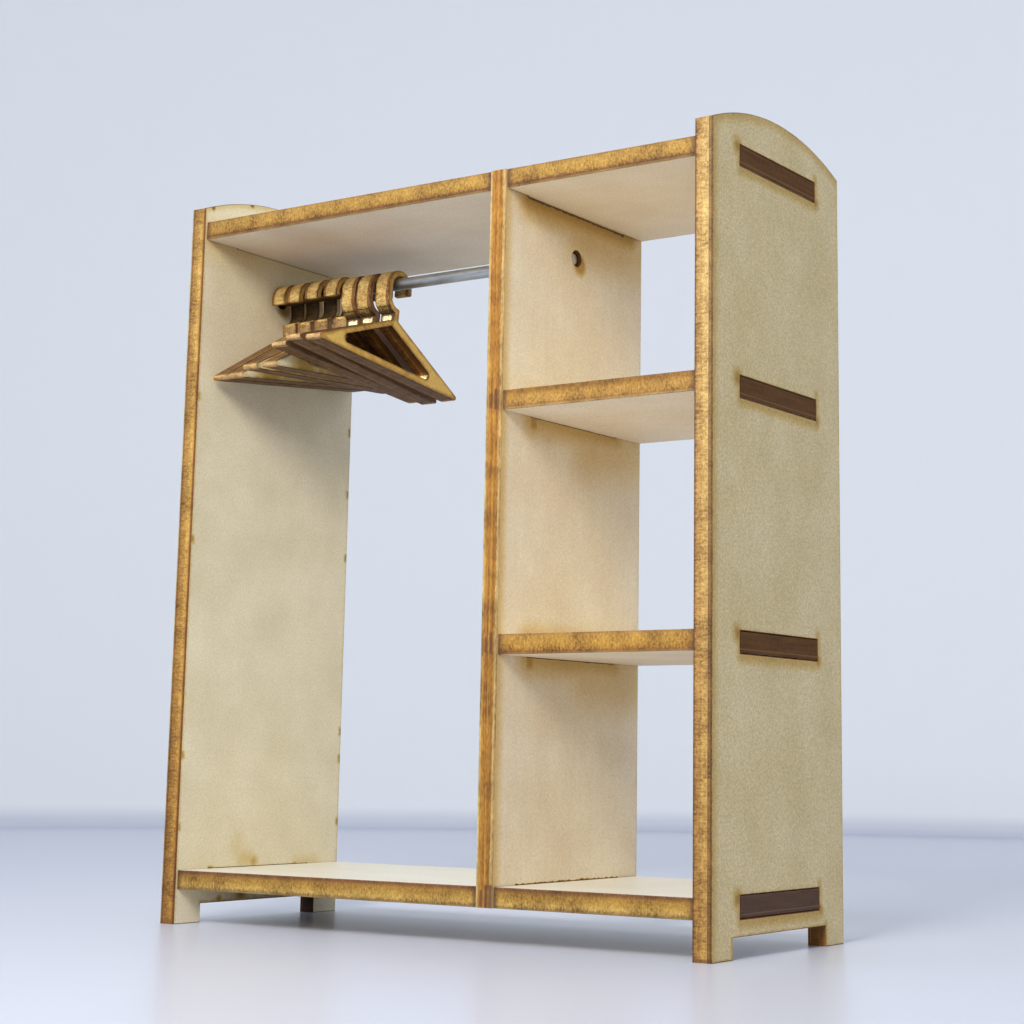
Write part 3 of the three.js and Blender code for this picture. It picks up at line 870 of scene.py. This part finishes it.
def hanger_face(name, tones, seed, darker_patches=()):
    """A face of a hanger, smoked near its cuts. The soot attribute darkens it further, as soot and
    painted shade between crowded hangers, and the patches darken it in places; a patch is two corners in
    the hanger's plane, in mm, its reach and its strength."""
    material, tree, output = new_material(name)
    near = add_node(tree, "ShaderNodeAttribute", attribute_name="from_cut").outputs["Fac"]
    soot_and_shade = add_node(tree, "ShaderNodeAttribute", attribute_name="soot_and_shade").outputs["Fac"]
    clouds = plan_figure(tree, (2.0, 2.0, 2.0), seed, 3.0)
    flecks = plan_figure(tree, (0.35, 0.35, 0.35), seed + 1.3)
    near = add_node(tree, "ShaderNodeMath", {
        0: clouds, 1: 0.8, 2: near,
    }, operation="MULTIPLY_ADD").outputs[0]
    # Soot and painted shade where the hangers crowd together.
    near = add_node(tree, "ShaderNodeMath", {0: near, 1: soot_and_shade}, operation="SUBTRACT").outputs[0]
    wood = fill_ramp(add_node(tree, "ShaderNodeValToRGB", {"Fac": near}), tones)
    if darker_patches:
        plan_at = add_node(tree, "ShaderNodeAttribute", attribute_name="plan").outputs["Vector"]
        wood = stained_and_shaded(tree, wood, burn_and_shade_mask(tree, plan_at, darker_patches))
    shade = add_node(tree, "ShaderNodeMapRange", {
        "Value": flecks, "From Min": 0.3, "From Max": 0.7, "To Min": 0.88, "To Max": 1.1,
    }).outputs[0]
    wood = add_node(tree, "ShaderNodeVectorMath", {0: wood, "Scale": shade}, operation="SCALE").outputs[0]
    relief = add_node(tree, "ShaderNodeBump", {"Height": flecks, "Strength": 0.25, "Distance": 0.02 * mm})
    shader = add_node(tree, "ShaderNodeBsdfPrincipled", {
        "Base Color": wood, "Normal": relief.outputs[0], "Roughness": 0.6, "IOR": 1.45,
    })
    tree.links.new(shader.outputs[0], output.inputs[0])
    return material


def hanger_edge(name, plies, seed, spots):
    """A cut edge of a hanger: plies across its thickness, fine hatching, and spots of another colour.
    A spot is its colour and its box: two corners in the hanger's plane, in mm, reach and strength. Spots
    are char, bare wood, painted shade and painted highlights."""
    material, tree, output = new_material(name)
    plan_at = add_node(tree, "ShaderNodeAttribute", attribute_name="plan").outputs["Vector"]
    stripes = plan_figure(tree, (1.2, 0.22, 0.22), seed)
    flecks = plan_figure(tree, (0.3, 0.35, 0.35), seed + 1.7)
    clouds = plan_figure(tree, (1.4, 1.4, 1.4), seed + 3.1)
    across = add_node(tree, "ShaderNodeSeparateXYZ", {0: plan_at}).outputs[0]
    across = add_node(tree, "ShaderNodeMath", {0: across, 1: ply / 2}, operation="ADD").outputs[0]
    wander = add_node(tree, "ShaderNodeMapRange", {
        "Value": clouds, "From Min": 0.3, "From Max": 0.7, "To Min": -0.1, "To Max": 0.1,
    }).outputs[0]
    across = add_node(tree, "ShaderNodeMath", {0: across, 1: wander}, operation="ADD").outputs[0]
    across = add_node(tree, "ShaderNodeMath", {0: across, 1: ply}, operation="DIVIDE").outputs[0]
    wood = fill_ramp(add_node(tree, "ShaderNodeValToRGB", {"Fac": across}), [
        (depth / ply, colour) for depth, colour in plies
    ])
    ragged = add_node(tree, "ShaderNodeMath", {
        0: flecks, 1: 0.9, 2: -0.45,
    }, operation="MULTIPLY_ADD").outputs[0]
    ragged = add_node(tree, "ShaderNodeVectorMath", {0: plan_at, 1: ragged}, operation="ADD").outputs[0]
    for colour, *spot in spots:
        share = burn_and_shade_mask(tree, ragged, [spot])
        wood = add_node(tree, "ShaderNodeMix", {
            0: share, 6: wood, 7: linear(colour),
        }, data_type="RGBA").outputs[2]
    shade = add_node(tree, "ShaderNodeMath", {0: stripes, 1: flecks}, operation="ADD").outputs[0]
    shade = add_node(tree, "ShaderNodeMath", {0: shade, 1: clouds}, operation="ADD").outputs[0]
    shade = add_node(tree, "ShaderNodeMapRange", {
        "Value": shade, "From Min": 1.1, "From Max": 1.9, "To Max": 1.0,
    }).outputs[0]
    shade = add_node(tree, "ShaderNodeMix", {
        0: shade, 6: browned_share, 7: bared_share,
    }, data_type="RGBA").outputs[2]
    wood = add_node(tree, "ShaderNodeVectorMath", {0: wood, 1: shade}, operation="MULTIPLY").outputs[0]
    relief = add_node(tree, "ShaderNodeBump", {"Height": stripes, "Strength": 0.4, "Distance": 0.05 * mm})
    shader = add_node(tree, "ShaderNodeBsdfPrincipled", {
        "Base Color": wood, "Normal": relief.outputs[0], "Roughness": 0.65, "IOR": 1.4,
    })
    tree.links.new(shader.outputs[0], output.inputs[0])
    return material


# Scorched face: golden where the beam's flame licked the side that lay down, brown along the cuts.
golden_face = hanger_face("scorched_birch_veneer_hanger", [
    (0.1, "#60432a"), (0.4, "#7e5a30"), (0.62, "#ae8235"), (0.85, "#c59d47"), (1.0, "#d6b15d"),
], 11.0)
# Bare face: the upper side, which stayed pale but for smoke along the cuts.
pale_face = hanger_face("bare_birch_veneer_hanger", [
    (0.1, "#5e4424"), (0.4, "#967840"), (0.6, "#c8b484"), (0.85, "#e2d6ac"), (1.0, "#eadfba"),
], 15.0, [
    ((-1.6, -3.2, -3.6), (1.6, 3.6, 2.2), 1.2, 0.6),
    ((-1.6, -2.2, -6.6), (1.6, 2.2, -3.6), 1.0, 0.88),
    ((-1.6, 10.5, -15.4), (1.6, 12.5, -13.8), 4.0, 0.7),
    ((-1.6, -12.5, -15.4), (1.6, 7.0, -13.8), 3.2, 0.45),
])
# Hooks and necks keep their golden core. The darkest spots are char with painted shade, in the crease
# below the hook and on the stem's inner side, and the near-white patch at the foot of the neck is bare
# wood with a painted highlight.
hook_edge = hanger_edge("laser_cut_birch_edge_hook", [
    (0.0, "#55351a"), (0.12, "#8a6232"), (0.3, "#bca068"), (0.6, "#cbb17a"), (2.3, "#c5a76c"),
    (2.45, "#7b4f2a"), (2.7, "#8f6a40"), (2.85, "#52341a"), (3.0, "#96754a"),
], 21.0, [
    # Char with painted shade: the crease below the hook, the wall above the neck's patch, the stem's
    # inner side.
    ("#33210f", (-1.6, -1.9, -5.3), (1.6, -0.1, -4.9), 0.5, 0.85),
    ("#33210f", (-1.6, -0.5, -6.6), (1.6, -0.2, -5.0), 0.1, 0.75),
    ("#36240a", (-1.6, -1.7, -4.4), (1.6, -0.6, -0.5), 0.3, 0.95),
    # Bare wood at the foot of the neck, painted near white as a highlight.
    ("#fff4d8", (-0.9, -0.5, -6.3), (0.7, -0.2, -5.8), 0.25, 1.0),
    ("#866c50", (-1.4, 0.8, -6.9), (1.4, 1.6, -4.9), 0.4, 0.8),
])
# Arms and bars are browned through, but for the tips and a paler patch on each shoulder.
bar_edge = hanger_edge("charred_birch_edge_bar", [
    (0.0, "#3a2412"), (0.2, "#684b2b"), (0.8, "#7a593b"), (1.4, "#664a2d"), (1.55, "#422c1a"),
    (1.7, "#735537"), (2.6, "#65492b"), (2.85, "#382413"), (3.0, "#7c5a30"),
], 31.0, [
    ("#c2a274", (-1.4, 18.4, -15.4), (1.4, 18.9, -14.8), 0.8, 0.75),
    ("#c0a074", (-1.4, -18.4, -15.4), (1.4, -17.9, -14.8), 0.7, 0.75),
    ("#a68c64", (-0.9, 1.4, -7.4), (0.9, 2.4, -6.6), 0.9, 0.55),
])
# The window's inner edges are the darkest, with a bright patch at one lower corner: bare wood with a
# painted highlight.
window_edge = hanger_edge("charred_birch_edge_window", [
    (0.0, "#2f1b0a"), (0.2, "#634018"), (1.4, "#7c521f"), (1.6, "#a27434"), (1.8, "#744c1c"),
    (3.0, "#3e240c"),
], 41.0, [
    # Painted highlight on bare wood at the window's lower corner.
    ("#fff4c8", (-0.9, 9.8, -14.2), (0.9, 10.9, -13.4), 0.5, 1.0),
])
pattern.data.materials.clear()
for finish in (golden_face, hook_edge, bar_edge, window_edge, pale_face):
    pattern.data.materials.append(finish)
for face in pattern.data.polygons:
    middle = face.center / mm
    if abs(face.normal.x) > 0.99:
        face.material_index = 0 if face.normal.x > 0 else 4
    elif middle.z > shoulder_level:
        face.material_index = 1
    else:
        face.material_index = 3 if face.normal.dot(window_middle - middle) > 0 else 2
bpy.ops.object.shade_smooth_by_angle(angle=radians(20))

# Each hanger gets a shift of its own in the wood's figure. The fifth and sixth get soot and painted
# shade, where they hang close to their neighbours, on the arms more than on the hook.
figure_shift = 7.3
soot_and_shade_hangers, hook_soot_and_shade, arm_soot_and_shade = (5, 6), 0.35, 1.1
for number, tilt in enumerate(hanger_tilts, 1):
    node_name = f"hanger_{number}"
    lowest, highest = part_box(node_name)
    hanger = bpy.data.objects.new(node_name + "_plywood", pattern.data.copy())
    bpy.context.scene.collection.objects.link(hanger)
    opens_to_front = number <= front_opening
    hanger.rotation_euler = (
        Matrix.Rotation(tilt, 3, "X")
        @ Matrix.Rotation(pi if opens_to_front else 0, 3, "Z")
    ).to_euler()
    hanger.location = ((lowest.x + highest.x) / 2, 0, rail_level * mm)
    work_on(hanger)
    bpy.ops.object.transform_apply(location=True, rotation=True, scale=True)
    own = hanger.data.attributes.new("own", "FLOAT", "POINT")
    for value in own.data:
        value.value = figure_shift * number
    soot_and_shade_amounts = [
        (number in soot_and_shade_hangers) * (hook_soot_and_shade if place.vector.z > shoulder_level else arm_soot_and_shade)
        for place in hanger.data.attributes["plan"].data
    ]
    soot_and_shade = hanger.data.attributes.new("soot_and_shade", "FLOAT", "POINT")
    for value, amount in zip(soot_and_shade.data, soot_and_shade_amounts):
        value.value = amount
    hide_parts(node_name)
    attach(hanger, node_name)
bpy.data.objects.remove(pattern)
